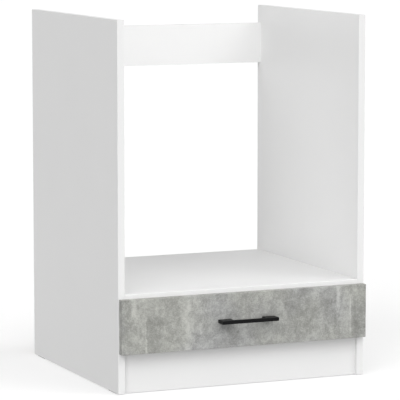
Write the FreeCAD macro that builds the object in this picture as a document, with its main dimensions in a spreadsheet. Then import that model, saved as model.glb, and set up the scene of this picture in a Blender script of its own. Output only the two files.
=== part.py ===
import FreeCAD, Part
import os
import re

import Sketcher

# Oven base cabinet: an open carcass for a built-in oven with one drawer on roller runners below it.
# +Z is up, the front looks along -Y, and the origin is on the floor under the middle of the object.

# Driving sizes in millimetres.
SIZES = {
    # Carcass boards.
    "cabinet_width": 600,           # over the outer faces of the sides
    "side_height": 820,             # of the side boards, which stand on the glides
    "carcass_depth": 543,           # front to back edge of the sides
    "board_thickness": 16,
    "shelf_back_gap": 8,            # the shelf stops this far short of the back
    "rail_height": 96,
    "rail_drop": 43,                # top of the rail below the top of the sides
    "plinth_height": 100,
    "plinth_recess": 8,             # plinth behind the front edges of the sides
    "drawer_space": 104,            # top of the plinth to the underside of the shelf
    "edging_thickness": 1,
    "edging_flat": 0.2,             # what is left of the edging's thickness beside its rounding
    "block_leg": 26,                # plinth block along the plinth and along the side
    "block_edge": 10,               # plinth block at the ends of its legs
    "block_height": 40,
    # Glide strips under the sides.
    "glide_height": 2,
    "glide_width": 12,
    "glide_length": 45,
    "glide_inset": 20,              # from the front and back edges
    # Drawer front.
    "front_thickness": 16,
    "front_reveal": 2,              # narrower than the carcass on each side
    "front_gap": 1,                 # closed front to the edges of the carcass
    "front_shelf_overlap": 6,
    "front_plinth_overlap": 11,
    # Drawer box.
    "drawer_board": 12,
    "drawer_back_gap": 43,          # closed drawer to the back of the carcass, less the front gap
    "drawer_lift": 17,              # room above the drawer sides, to lift the drawer in
    "bottom_sheet": 3,
    "groove_depth": 6,
    "groove_height": 12,            # lower edge of a drawer side to its groove
    "groove_play": 0.4,
    # Handle.
    "handle_length": 137,
    "handle_projection": 26,
    "handle_bar_depth": 8,
    "handle_height": 8,
    "handle_foot_length": 30,
    "handle_rounding": 0.8,
    # Roller runners.
    "runner_sheet": 1.2,
    "runner_setback": 2,            # behind the front edge of the carcass
    "runner_over_plinth": 4,
    "roller_diameter": 18,
    "roller_width": 6,
    "roller_play": 0.3,             # roller to the track it runs on
    "roller_inset": 16,             # front roller's axis behind the front end of the runner
    "rear_roller_inset": 12,        # rear roller's axis before the rear end of the drawer
    "flange_play": 1,               # running flange below the channel's ceiling
    "flange_side_play": 1.1,        # cabinet flanges to the drawer profile
    "running_gap": 2.5,             # running flange to the web of the cabinet profile
    "notch_play": 2,                # round the front roller in the channel's floor
    "entry_length": 30,             # open channel behind the front roller, to drop the drawer in
    "stop_height": 2.5,
    "stop_width": 4,
    "stop_slope": 1,                # the flanks of the stop
    "stop_play": 0.5,
    "drawer_hold": 130,             # length of drawer that stays inside at full travel
    "drawer_rise": 3,               # drawer sides above the underside of the cabinet profile
    "pin_diameter": 5,
    "pin_end_play": 0.3,            # roller to the sheet and to the head of its pin
    "pin_head_diameter": 8,
    "pin_head": 0.9,
    "running_fit": 0.06,            # radial, roller on its pin
    "screw_room": 2.6,              # rear pin head to the web, for the heads of the fixing screws
    # Fasteners.
    "fit_play": 0.1,                # radial, fastener in its hole
    "hole_end_play": 0.8,           # bottom of a blind hole to the fastener
    "joint_inset": 60,              # bolts of the shelf to its front and back
    "joint_step": 32,               # bolt to dowel
    "dowel_diameter": 8,
    "dowel_length": 30,
    "dowel_in_face": 10,            # length of a dowel in the face of a board
    "cam_diameter": 15,
    "cam_seat": 4.5,                # cam hole past the middle of the board
    "cam_distance": 34,             # end of the board to the axis of the cam
    "cam_play": 0.3,
    "bolt_diameter": 5,
    "bolt_in_face": 10,             # length of a bolt in the face of a board
    "bolt_head_diameter": 7,
    "bolt_head_length": 5,
}

# Places and derived sizes, each a formula of the driving sizes. The right hand side is given; the
# left one mirrors it.
PLACES = {
    # Carcass.
    "half_width": "cabinet_width / 2",
    "overall_depth": "carcass_depth + front_gap + front_thickness + handle_projection",
    "back_y": "overall_depth / 2",
    "carcass_front_y": "back_y - carcass_depth",
    "board_front_y": "carcass_front_y + edging_thickness",
    "side_inner_x": "half_width - board_thickness",
    "side_mid_x": "half_width - board_thickness / 2",
    "side_top_z": "glide_height + side_height",
    "edging_radius": "edging_thickness - edging_flat",
    "plinth_top_z": "glide_height + plinth_height",
    "plinth_front_y": "carcass_front_y + plinth_recess",
    "plinth_back_y": "plinth_front_y + board_thickness",
    "plinth_mid_z": "plinth_top_z - plinth_height / 2",
    "shelf_under_z": "plinth_top_z + drawer_space",
    "shelf_mid_z": "shelf_under_z + board_thickness / 2",
    "shelf_back_y": "back_y - shelf_back_gap",
    "shelf_front_bolt_y": "board_front_y + joint_inset",
    "shelf_back_bolt_y": "shelf_back_y - joint_inset",
    "rail_under_z": "side_top_z - rail_drop - rail_height",
    "rail_mid_z": "rail_under_z + rail_height / 2",
    "rail_front_y": "back_y - board_thickness",
    "rail_mid_y": "back_y - board_thickness / 2",
    "glide_front_y": "carcass_front_y + glide_inset",
    "glide_back_y": "back_y - glide_inset - glide_length",
    # Runners, front to back and up.
    "runner_front_y": "carcass_front_y + runner_setback",
    "runner_length": "drawer_depth",
    "runner_level": "plinth_top_z + runner_over_plinth",
    "channel_height": "roller_diameter + 2 * roller_play + 2 * runner_sheet",
    "flange_top_z": "runner_level + channel_height - runner_sheet - flange_play",
    "front_roller_y": "runner_front_y + roller_inset",
    "front_roller_z": "flange_top_z - runner_sheet - roller_play - roller_diameter / 2",
    "rear_roller_y": "drawer_back_y - rear_roller_inset",
    "rear_roller_z": "runner_level + runner_sheet + roller_play + roller_diameter / 2",
    "drawer_travel": "drawer_depth - drawer_hold",
    "stop_y": "rear_roller_y - drawer_travel - roller_diameter / 2 - stop_play - stop_width",
    # Runners, across.
    "pin_length": "roller_width + 2 * pin_end_play + pin_head",
    "runner_space": "2 * runner_sheet + pin_length + screw_room",
    "web_inner_x": "side_inner_x - runner_sheet",
    "channel_reach": "runner_space - runner_sheet - flange_side_play",
    "flange_reach": "runner_space - runner_sheet - running_gap",
    "front_roller_x": "web_inner_x - pin_end_play",
    "rear_roller_x": "drawer_web_x + pin_end_play",
    # Drawer front.
    "front_back_y": "carcass_front_y - front_gap",
    "front_face_y": "front_back_y - front_thickness",
    "front_half": "half_width - front_reveal",
    "front_bottom_z": "plinth_top_z - front_plinth_overlap",
    "front_top_z": "shelf_under_z + front_shelf_overlap",
    "front_mid_z": "(front_bottom_z + front_top_z) / 2",
    # Drawer box.
    "drawer_depth": "carcass_depth - drawer_back_gap",
    "drawer_back_y": "front_back_y + drawer_depth",
    "drawer_outer_x": "side_inner_x - runner_space",
    "drawer_inner_x": "drawer_outer_x - drawer_board",
    "drawer_side_x": "drawer_outer_x - drawer_board / 2",
    "drawer_web_x": "drawer_outer_x + runner_sheet",
    "drawer_bottom_z": "runner_level + drawer_rise",
    "drawer_top_z": "shelf_under_z - drawer_lift",
    "drawer_mid_z": "(drawer_bottom_z + drawer_top_z) / 2",
    "groove_z": "drawer_bottom_z + groove_height",
    "groove_width": "bottom_sheet + groove_play",
    "bottom_half": "drawer_inner_x + groove_depth - groove_play",
    "bottom_front_y": "front_back_y - groove_depth + groove_play",
    "drawer_back_z": "groove_z + bottom_sheet",
    "drawer_profile_y": "front_back_y + runner_setback",
    "drawer_profile_length": "drawer_depth - runner_setback",
    "handle_half": "handle_length / 2",
    "handle_bottom_z": "front_mid_z - handle_height / 2",
    # Holes.
    "cam_axis_x": "side_inner_x - cam_distance",
    "drawer_cam_y": "front_back_y + cam_distance",
    "dowel_hole": "dowel_diameter + 2 * fit_play",
    "dowel_face_depth": "dowel_in_face + hole_end_play",
    "dowel_end_depth": "dowel_length - dowel_in_face + hole_end_play",
    "bolt_hole": "bolt_head_diameter + 2 * cam_play",
    "thread_hole": "bolt_diameter + 2 * fit_play",
    "thread_depth": "bolt_in_face + hole_end_play",
    "pin_hole": "pin_diameter + 2 * fit_play",
}

DIRECTIONS = {
    "+x": FreeCAD.Vector(1, 0, 0),
    "-x": FreeCAD.Vector(-1, 0, 0),
    "+y": FreeCAD.Vector(0, 1, 0),
    "-y": FreeCAD.Vector(0, -1, 0),
    "+z": FreeCAD.Vector(0, 0, 1),
    "-z": FreeCAD.Vector(0, 0, -1),
}
PLANES = {"x": "YZ_Plane", "y": "XZ_Plane", "z": "XY_Plane"}
# Signs along X: away from the middle of the cabinet, and towards it.
HANDS = {"left": "-1", "right": "1"}
INWARD = {"left": "1", "right": "-1"}
CLOSE = 1e-4

doc = FreeCAD.newDocument("oven_base_cabinet")
nodes = []


def fill_sheet(name, cells):
    """Write names and values to a sheet, with each value under its name as alias."""
    sheet = doc.addObject("Spreadsheet::Sheet", name)
    for row, (alias, content) in enumerate(cells.items(), 1):
        sheet.set(f"A{row}", alias)
        sheet.set(f"B{row}", content)
        sheet.setAlias(f"B{row}", alias)
    return sheet


def qualified(formula):
    """The formula with each name pointed at the sheet that holds it."""
    def point(match):
        word = match.group()
        if word in SIZES:
            return f"Sizes.{word}"
        if word in PLACES:
            return f"Places.{word}"
        raise KeyError(word)
    return re.sub(r"[a-z_]+", point, formula)


def value(formula):
    return float(sizes.evalExpression(qualified(formula)))


def bind(thing, name, formula):
    thing.setExpression(name, qualified(formula))


def turned(x_along, z_along):
    """The rotation that points a piece's own X and Z along two directions."""
    x_axis = DIRECTIONS[x_along]
    z_axis = DIRECTIONS[z_along]
    return FreeCAD.Rotation(x_axis, z_axis.cross(x_axis), z_axis, "ZXY")


def place(thing, spot, rotation=FreeCAD.Rotation()):
    """Set a piece at three formulas, turned."""
    thing.Placement = FreeCAD.Placement(FreeCAD.Vector(), rotation)
    for axis, formula in zip("xyz", spot):
        bind(thing, f"Placement.Base.{axis}", formula)


def new_body(label):
    body = doc.addObject("PartDesign::Body", label)
    body.Label = label
    return body


def sketch_across(body, axis, level="0"):
    """A sketch square to one axis of the body, at a level along it."""
    sketch = body.newObject("Sketcher::SketchObject", "Sketch")
    plane = next(part for part in body.Origin.OriginFeatures if part.Role == PLANES[axis])
    sketch.AttachmentSupport = [(plane, "")]
    sketch.MapMode = "FlatFace"
    # The XZ plane looks along -Y, so levels count backwards on it.
    sign = "-" if axis == "y" else ""
    bind(sketch, "AttachmentOffset.Base.z", f"{sign}({level})")
    return sketch


def fix_point(sketch, geometry, position, spot):
    """Tie a point of the sketch to two formulas."""
    for kind, formula in zip(("DistanceX", "DistanceY"), spot):
        distance = Sketcher.Constraint(kind, -1, 1, geometry, position, value(formula))
        bind(sketch, f"Constraints[{sketch.addConstraint(distance)}]", formula)


def outline(sketch, points):
    """A closed outline of straight lines through points given as formulas."""
    corners = [FreeCAD.Vector(value(u), value(v), 0) for u, v in points]
    following = corners[1:] + corners[:1]
    lines = [sketch.addGeometry(Part.LineSegment(*ends)) for ends in zip(corners, following)]
    for line, after in zip(lines, lines[1:] + lines[:1]):
        sketch.addConstraint(Sketcher.Constraint("Coincident", line, 2, after, 1))
    for line, spot in zip(lines, points):
        fix_point(sketch, line, 1, spot)


def rectangle(sketch, low, high):
    outline(sketch, [low, (high[0], low[1]), high, (low[0], high[1])])


def rings(sketch, centres, diameter):
    """Circles of one diameter at points given as formulas."""
    for u, v in centres:
        middle = FreeCAD.Vector(value(u), value(v), 0)
        circle = Part.Circle(middle, DIRECTIONS["+z"], value(diameter) / 2)
        ring = sketch.addGeometry(circle)
        size = sketch.addConstraint(Sketcher.Constraint("Diameter", ring, value(diameter)))
        bind(sketch, f"Constraints[{size}]", diameter)
        fix_point(sketch, ring, 3, (u, v))


def pad(body, sketch, axis, length, sense="+"):
    """Raise a sketch into a solid along an axis."""
    feature = body.newObject("PartDesign::Pad", "Pad")
    feature.Profile = sketch
    feature.Reversed = (axis == "y") == (sense == "+")
    bind(feature, "Length", length)


def pocket(body, sketch, axis, depth, sense):
    """Sink a sketch into the solid along an axis."""
    feature = body.newObject("PartDesign::Pocket", "Pocket")
    feature.Profile = sketch
    feature.Reversed = (axis != "y") == (sense == "+")
    bind(feature, "Length", depth)


def revolve(label, profile):
    """A body turned about its own X axis from a profile of axial and radial formulas."""
    body = new_body(label)
    sketch = sketch_across(body, "z")
    outline(sketch, profile)
    feature = body.newObject("PartDesign::Revolution", "Revolution")
    feature.Profile = sketch
    feature.ReferenceAxis = (sketch, ["H_Axis"])
    feature.Angle = 360
    return body


def round_edges(body, radius, chosen):
    """Round the edges of the body that the given test picks."""
    doc.recompute()
    solid = body.Tip
    names = [f"Edge{count}" for count, edge in enumerate(solid.Shape.Edges, 1) if chosen(edge)]
    feature = body.newObject("PartDesign::Fillet", "Fillet")
    feature.Base = (solid, names)
    bind(feature, "Radius", radius)


class Board:
    """A board drawn from its low corner; holes and grooves are given in the cabinet's frame."""

    def __init__(self, label, low, high):
        self.low = low
        self.size = [f"({top}) - ({bottom})" for bottom, top in zip(low, high)]
        self.body = new_body(label)
        sketch = sketch_across(self.body, "z")
        rectangle(sketch, ("0", "0"), (self.size[0], self.size[1]))
        pad(self.body, sketch, "z", self.size[2])
        place(self.body, low)
        nodes.append(self.body)

    def face_sketch(self, face):
        axis = face[1]
        level = self.size["xyz".index(axis)] if face[0] == "+" else "0"
        return sketch_across(self.body, axis, level)

    def on_face(self, face, spot):
        """A place in the cabinet's frame as the two coordinates of a sketch on a face."""
        own = [f"({formula}) - ({low})" for formula, low in zip(spot, self.low)]
        own.pop("xyz".index(face[1]))
        return tuple(own)

    def sink(self, face, sketch, depth):
        pocket(self.body, sketch, face[1], depth, "-" if face[0] == "+" else "+")

    def drill(self, face, spots, diameter, depth):
        """Blind or through holes from a face such as +x."""
        sketch = self.face_sketch(face)
        rings(sketch, [self.on_face(face, spot) for spot in spots], diameter)
        self.sink(face, sketch, depth)

    def groove(self, face, low, high, depth):
        sketch = self.face_sketch(face)
        rectangle(sketch, self.on_face(face, low), self.on_face(face, high))
        self.sink(face, sketch, depth)


def group(label, master, spots):
    """Copies of one fastener, each at a place and turned, as one node."""
    copies = []
    for count, (spot, rotation) in enumerate(spots, 1):
        copy = doc.addObject("App::Link", f"{label}_{count}")
        copy.LinkedObject = master
        place(copy, spot, rotation)
        copies.append(copy)
    together = doc.addObject("Part::Compound", label)
    together.Label = label
    together.Links = copies
    nodes.append(together)


def mirrored(hand, formula):
    """A place across the cabinet, on the left or right hand."""
    return f"{HANDS[hand]} * ({formula})"


def inward(hand):
    return {"left": "+x", "right": "-x"}[hand]


def outward(hand):
    return {"left": "-x", "right": "+x"}[hand]


def upright(x_along):
    """Turned about Z only."""
    return turned(x_along, "+z")


# Joints of the cross boards to the sides: places of bolts and dowels, front to back and up.
SHELF_BOLTS = [
    ("shelf_front_bolt_y", "shelf_mid_z"),
    ("shelf_back_bolt_y", "shelf_mid_z"),
]
RAIL_BOLTS = [("rail_mid_y", "rail_mid_z + joint_step / 2")]
RAIL_DOWELS = [("rail_mid_y", "rail_mid_z - joint_step / 2")]


def side_board(hand):
    """A side of the carcass, drilled on its inner face for everything it carries."""
    inner, outer = mirrored(hand, "side_inner_x"), mirrored(hand, "half_width")
    low_x, high_x = (outer, inner) if hand == "left" else (inner, outer)
    board = Board(
        f"{hand}_side_board",
        (low_x, "board_front_y", "glide_height"),
        (high_x, "back_y", "side_top_z"),
    )
    face = inward(hand)
    bolts = [(inner, y, z) for y, z in SHELF_BOLTS + RAIL_BOLTS]
    board.drill(face, bolts, "thread_hole", "thread_depth")
    dowels = [(inner, y, z) for y, z in RAIL_DOWELS]
    board.drill(face, dowels, "dowel_hole", "dowel_face_depth")


def cross_board(label, low, high, cam_face, bolts, dowels):
    """A board between the sides, bored at both ends and for its cam locks."""
    board = Board(label, ("-side_inner_x", *low), ("side_inner_x", *high))
    for face in ("-x", "+x"):
        board.drill(face, [("0", y, z) for y, z in bolts], "bolt_hole", "cam_distance")
        if dowels:
            board.drill(face, [("0", y, z) for y, z in dowels], "dowel_hole", "dowel_end_depth")
    cams = [(mirrored(hand, "cam_axis_x"), y, z) for hand in HANDS for y, z in bolts]
    board.drill(cam_face, cams, "cam_diameter", "board_thickness / 2 + cam_seat")


def edging(label, low, high, rounded):
    """A strip of edging whose outer long edges are rounded, picked by the given test."""
    strip = Board(label, low, high)
    round_edges(strip.body, "edging_radius", rounded)


def front_edges(edge):
    """The long edges of a strip on its front face."""
    length = max(edge.BoundBox.XLength, edge.BoundBox.ZLength)
    return edge.BoundBox.YMax < CLOSE and length > value("board_thickness") + CLOSE


def carcass():
    for hand in HANDS:
        side_board(hand)
    cross_board(
        "oven_shelf",
        ("board_front_y", "shelf_under_z"),
        ("shelf_back_y", "shelf_under_z + board_thickness"),
        "-z", SHELF_BOLTS, [],
    )
    cross_board(
        "rear_rail",
        ("rail_front_y", "rail_under_z"),
        ("back_y", "rail_under_z + rail_height"),
        "+y", RAIL_BOLTS, RAIL_DOWELS,
    )
    Board(
        "plinth_board",
        ("-side_inner_x", "plinth_front_y", "glide_height"),
        ("side_inner_x", "plinth_back_y", "plinth_top_z"),
    )
    for hand in HANDS:
        plinth_block(hand)
    edging(
        "left_side_edging",
        ("-half_width", "carcass_front_y", "glide_height"),
        ("-side_inner_x", "board_front_y", "side_top_z"),
        front_edges,
    )
    edging(
        "right_side_edging",
        ("side_inner_x", "carcass_front_y", "glide_height"),
        ("half_width", "board_front_y", "side_top_z"),
        front_edges,
    )
    edging(
        "shelf_edging",
        ("-side_inner_x", "carcass_front_y", "shelf_under_z"),
        ("side_inner_x", "board_front_y", "shelf_under_z + board_thickness"),
        front_edges,
    )


def rod(label, start, end, diameter):
    """A plain round rod along its own X axis."""
    body = new_body(label)
    sketch = sketch_across(body, "x", start)
    rings(sketch, [("0", "0")], diameter)
    pad(body, sketch, "x", f"({end}) - ({start})")
    return body


def plinth_block(hand):
    """A corner block that ties the plinth to a side from behind."""
    into = INWARD[hand]
    leg, edge = f"{into} * block_leg", f"{into} * block_edge"
    body = new_body(f"{hand}_plinth_block")
    sketch = sketch_across(body, "z")
    outline(sketch, [
        ("0", "0"), (leg, "0"), (leg, "block_edge"), (edge, "block_leg"), ("0", "block_leg"),
    ])
    pad(body, sketch, "z", "block_height")
    bottom = "plinth_mid_z - block_height / 2"
    place(body, (mirrored(hand, "side_inner_x"), "plinth_back_y", bottom))
    nodes.append(body)


def glide():
    """A flat strip that the cabinet stands on, drawn from its low corner."""
    body = new_body("glide")
    sketch = sketch_across(body, "z")
    rectangle(sketch, ("0", "0"), ("glide_width", "glide_length"))
    pad(body, sketch, "z", "glide_height")
    return body


def cam_lock(label, board):
    """A cam lock for a board of the given thickness, its open face at the bottom.

    The head of the bolt comes in along +X through a slot, to the middle of the cam.
    """
    body = new_body(label)
    sketch = sketch_across(body, "z")
    rings(sketch, [("0", "0")], "cam_diameter - 2 * fit_play")
    pad(body, sketch, "z", f"{board} / 2 + cam_seat - fit_play")
    sketch = sketch_across(body, "x", "bolt_head_length / 2 + cam_play")
    low_z, high_z = (f"{board} / 2 {sign} bolt_hole / 2" for sign in "-+")
    rectangle(sketch, ("-bolt_hole / 2", low_z), ("bolt_hole / 2", high_z))
    pocket(body, sketch, "x", "cam_diameter", "-")
    return body


def cam_bolt():
    """A cam bolt across the joint at its own X = 0, with its head in the cam."""
    shank, head = "bolt_diameter / 2", "bolt_head_diameter / 2"
    head_start = "cam_distance - bolt_head_length / 2"
    head_end = "cam_distance + bolt_head_length / 2"
    return revolve("cam_bolt", [
        ("-bolt_in_face", "0"), ("-bolt_in_face", shank), (head_start, shank),
        (head_start, head), (head_end, head), (head_end, "0"),
    ])


def carcass_fittings(bolt):
    """Cam locks, cam bolts, dowels and glides of the carcass."""
    lock = cam_lock("cam_lock", "board_thickness")
    locks = []
    bolts = []
    pegs = []
    glides = []
    for hand in HANDS:
        across = upright(inward(hand))
        face_x, cam_x = mirrored(hand, "side_inner_x"), mirrored(hand, "cam_axis_x")
        locks += [((cam_x, y, "shelf_under_z"), across) for y, z in SHELF_BOLTS]
        from_behind = turned(inward(hand), "-y")
        locks += [((cam_x, "back_y", z), from_behind) for y, z in RAIL_BOLTS]
        bolts += [((face_x, y, z), across) for y, z in SHELF_BOLTS + RAIL_BOLTS]
        pegs += [((face_x, y, z), across) for y, z in RAIL_DOWELS]
        corner_x = mirrored(hand, "side_mid_x") + " - glide_width / 2"
        glides += [((corner_x, y, "0"), upright("+x")) for y in ("glide_front_y", "glide_back_y")]
    group("carcass_cam_locks", lock, locks)
    group("carcass_cam_bolts", bolt, bolts)
    peg = rod("dowel", "-dowel_in_face", "dowel_length - dowel_in_face", "dowel_diameter")
    group("carcass_dowels", peg, pegs)
    group("floor_glides", glide(), glides)


def bend(body, corners):
    """Round the outer side of the folds of a profile drawn along Y."""
    folds = [FreeCAD.Vector(value(x), 0, value(z)) for x, z in corners]

    def chosen(edge):
        start, end = (vertex.Point for vertex in edge.Vertexes)
        if abs(start.x - end.x) + abs(start.z - end.z) > CLOSE:
            return False
        return any(abs(start.x - fold.x) + abs(start.z - fold.z) < CLOSE for fold in folds)

    round_edges(body, "runner_sheet", chosen)


def cabinet_runner(hand):
    """The fixed profile: a channel bent from sheet, open to the drawer, against the side board."""
    into = INWARD[hand]
    sheet, reach = f"{into} * runner_sheet", f"{into} * channel_reach"
    past = f"{into} * (channel_reach + runner_sheet)"
    floor, ceiling = "runner_sheet", "channel_height - runner_sheet"
    body = new_body(f"{hand}_cabinet_runner")
    sketch = sketch_across(body, "y")
    outline(sketch, [
        ("0", "0"), (reach, "0"), (reach, floor), (sheet, floor),
        (sheet, ceiling), (reach, ceiling), (reach, "channel_height"), ("0", "channel_height"),
    ])
    pad(body, sketch, "y", "runner_length")
    bend(body, [("0", "0"), ("0", "channel_height")])
    roller_y = "roller_inset"
    notch = "(roller_diameter / 2 + notch_play)"
    sketch = sketch_across(body, "z")
    rectangle(sketch, (sheet, f"{roller_y} - {notch}"), (past, f"{roller_y} + {notch}"))
    pocket(body, sketch, "z", floor, "+")
    sketch = sketch_across(body, "z", "channel_height")
    rectangle(sketch, (sheet, "-runner_sheet"), (past, f"{roller_y} + {notch} + entry_length"))
    pocket(body, sketch, "z", "runner_sheet", "-")
    sketch = sketch_across(body, "y", "runner_length - runner_sheet")
    rectangle(sketch, (sheet, floor), (reach, ceiling))
    pad(body, sketch, "y", "runner_sheet")
    travel_stop(body, hand)
    away = inward(hand)[0]
    sketch = sketch_across(body, "x")
    rings(sketch, [(roller_y, "front_roller_z - runner_level")], "pin_hole")
    pocket(body, sketch, "x", "runner_sheet", away)
    place(body, (mirrored(hand, "side_inner_x"), "runner_front_y", "runner_level"))
    nodes.append(body)


def travel_stop(body, hand):
    """A hump across the channel's floor that the rear roller meets at full travel."""
    sketch = sketch_across(body, "x", f"{INWARD[hand]} * runner_sheet")
    low_y, high_y = "stop_y - runner_front_y", "stop_y - runner_front_y + stop_width"
    floor, top = "runner_sheet", "runner_sheet + stop_height"
    outline(sketch, [
        (low_y, floor), (high_y, floor),
        (f"{high_y} - stop_slope", top), (f"{low_y} + stop_slope", top),
    ])
    pad(body, sketch, "x", "channel_reach - runner_sheet", inward(hand)[0])


def drawer_runner(hand):
    """The moving profile: a seat under the drawer side, a web beside it and a running flange."""
    out = HANDS[hand]
    sheet, reach = f"{out} * runner_sheet", f"{out} * flange_reach"
    past = f"{out} * (flange_reach + runner_sheet)"
    under = f"{INWARD[hand]} * drawer_board"
    top = "flange_top_z - drawer_bottom_z"
    body = new_body(f"{hand}_drawer_runner")
    sketch = sketch_across(body, "y")
    outline(sketch, [
        (under, "-runner_sheet"), (sheet, "-runner_sheet"), (sheet, f"{top} - runner_sheet"),
        (reach, f"{top} - runner_sheet"), (reach, top), ("0", top), ("0", "0"), (under, "0"),
    ])
    pad(body, sketch, "y", "drawer_profile_length")
    bend(body, [(sheet, "-runner_sheet"), ("0", top)])
    roller_room = "rear_roller_inset + roller_diameter / 2 + notch_play"
    sketch = sketch_across(body, "z", top)
    rectangle(
        sketch,
        (sheet, f"drawer_profile_length - ({roller_room})"),
        (past, "drawer_profile_length + runner_sheet"),
    )
    pocket(body, sketch, "z", "runner_sheet", "-")
    sketch = sketch_across(body, "x")
    axis = ("drawer_profile_length - rear_roller_inset", "rear_roller_z - drawer_bottom_z")
    rings(sketch, [axis], "pin_hole")
    pocket(body, sketch, "x", "runner_sheet", outward(hand)[0])
    place(body, (mirrored(hand, "drawer_outer_x"), "drawer_profile_y", "drawer_bottom_z"))
    nodes.append(body)


def roller(label, spot, rotation):
    """A roller turned about its own X axis."""
    width, bore, tread = "roller_width", "pin_diameter / 2 + running_fit", "roller_diameter / 2"
    body = revolve(label, [("0", bore), ("0", tread), (width, tread), (width, bore)])
    place(body, spot, rotation)
    nodes.append(body)


def roller_pin():
    """A headed pin riveted in sheet: its own X = 0 is the face of the sheet it stands on."""
    pin, head = "pin_diameter / 2", "pin_head_diameter / 2"
    head_start = "pin_length - pin_head"
    return revolve("roller_pin", [
        ("-runner_sheet", "0"), ("-runner_sheet", pin), (head_start, pin),
        (head_start, head), ("pin_length", head), ("pin_length", "0"),
    ])


def runners():
    """Both runner pairs with their rollers and pins."""
    pin = roller_pin()
    front_pins = []
    rear_pins = []
    for hand in HANDS:
        cabinet_runner(hand)
        drawer_runner(hand)
        into, out = upright(inward(hand)), upright(outward(hand))
        front = ("front_roller_y", "front_roller_z")
        rear = ("rear_roller_y", "rear_roller_z")
        roller(f"{hand}_front_roller", (mirrored(hand, "front_roller_x"), *front), into)
        roller(f"{hand}_rear_roller", (mirrored(hand, "rear_roller_x"), *rear), out)
        front_pins.append(((mirrored(hand, "web_inner_x"), *front), into))
        rear_pins.append(((mirrored(hand, "drawer_web_x"), *rear), out))
    group("cabinet_roller_pins", pin, front_pins)
    group("drawer_roller_pins", pin, rear_pins)


def drawer_side(hand):
    """A side of the drawer box, grooved for the bottom and bored for its fittings."""
    inner, outer = mirrored(hand, "drawer_inner_x"), mirrored(hand, "drawer_outer_x")
    low_x, high_x = (outer, inner) if hand == "left" else (inner, outer)
    board = Board(
        f"drawer_{hand}_side",
        (low_x, "front_back_y", "drawer_bottom_z"),
        (high_x, "drawer_back_y", "drawer_top_z"),
    )
    board.groove(
        inward(hand),
        (inner, "front_back_y", "groove_z"),
        (inner, "drawer_back_y", "groove_z + groove_width"),
        "groove_depth",
    )
    middle = mirrored(hand, "drawer_side_x")
    board.drill("-y", [(middle, "front_back_y", "drawer_mid_z")], "bolt_hole", "cam_distance")
    lock = [(inner, "drawer_cam_y", "drawer_mid_z")]
    board.drill(inward(hand), lock, "cam_diameter", "drawer_board / 2 + cam_seat")


def drawer_front():
    """The front board, grooved and bored for the drawer box, and the four strips of its edging."""
    core_half = "front_half - edging_thickness"
    bottom, top = "front_bottom_z + edging_thickness", "front_top_z - edging_thickness"
    board = Board(
        "drawer_front",
        (f"-({core_half})", "front_face_y", bottom),
        (core_half, "front_back_y", top),
    )
    groove_half = "drawer_inner_x + groove_depth"
    board.groove(
        "+y",
        (f"-({groove_half})", "0", "groove_z"),
        (groove_half, "0", "groove_z + groove_width"),
        "groove_depth",
    )
    across = [mirrored(hand, "drawer_side_x") for hand in HANDS]
    bolts = [(x, "0", "drawer_mid_z") for x in across]
    board.drill("+y", bolts, "thread_hole", "thread_depth")
    strips = {
        "left": (("-front_half", "front_bottom_z"), (f"-({core_half})", "front_top_z")),
        "right": ((core_half, "front_bottom_z"), ("front_half", "front_top_z")),
        "bottom": ((f"-({core_half})", "front_bottom_z"), (core_half, bottom)),
        "top": ((f"-({core_half})", top), (core_half, "front_top_z")),
    }
    for side, (low, high) in strips.items():
        edging(
            f"drawer_front_{side}_edging",
            (low[0], "front_face_y", low[1]),
            (high[0], "front_back_y", high[1]),
            outer_edges(side),
        )


def outer_edges(side):
    """A test for the long edges on the outer face of a strip round the drawer front."""
    def chosen(edge):
        box = edge.BoundBox
        thickness = value("edging_thickness")
        if max(box.XLength, box.ZLength) < value("front_thickness") + CLOSE:
            return False
        return {
            "left": box.XMax < CLOSE,
            "right": box.XMin > thickness - CLOSE,
            "bottom": box.ZMax < CLOSE,
            "top": box.ZMin > thickness - CLOSE,
        }[side]
    return chosen


def handle():
    """A bar handle cast in one piece with two feet, its front face rounded all round."""
    half, foot = "handle_half", "(handle_half - handle_foot_length)"
    front, grip = "-handle_projection", "handle_bar_depth - handle_projection"
    body = new_body("handle")
    sketch = sketch_across(body, "z")
    outline(sketch, [
        (f"-{half}", "0"), (f"-{half}", front), (half, front), (half, "0"),
        (foot, "0"), (foot, grip), (f"-{foot}", grip), (f"-{foot}", "0"),
    ])
    pad(body, sketch, "z", "handle_height")
    face_y = -value("handle_projection")
    round_edges(body, "handle_rounding", lambda edge: edge.BoundBox.YMax < face_y + CLOSE)
    place(body, ("0", "front_face_y", "handle_bottom_z"))
    nodes.append(body)


def drawer():
    """Front, handle, sides, back and bottom of the drawer."""
    drawer_front()
    handle()
    for hand in HANDS:
        drawer_side(hand)
    Board(
        "drawer_back",
        ("-drawer_inner_x", "drawer_back_y - drawer_board", "drawer_back_z"),
        ("drawer_inner_x", "drawer_back_y", "drawer_top_z"),
    )
    Board(
        "drawer_bottom",
        ("-bottom_half", "bottom_front_y", "groove_z"),
        ("bottom_half", "drawer_back_y", "drawer_back_z"),
    )


def drawer_fittings(bolt):
    """Cam locks and bolts that hold the drawer sides to the front."""
    lock = cam_lock("drawer_cam_lock", "drawer_board")
    locks = []
    bolts = []
    for hand in HANDS:
        inner, middle = mirrored(hand, "drawer_inner_x"), mirrored(hand, "drawer_side_x")
        locks.append(((inner, "drawer_cam_y", "drawer_mid_z"), turned("+y", outward(hand))))
        bolts.append(((middle, "front_back_y", "drawer_mid_z"), upright("+y")))
    group("drawer_cam_locks", lock, locks)
    group("drawer_cam_bolts", bolt, bolts)


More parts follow.
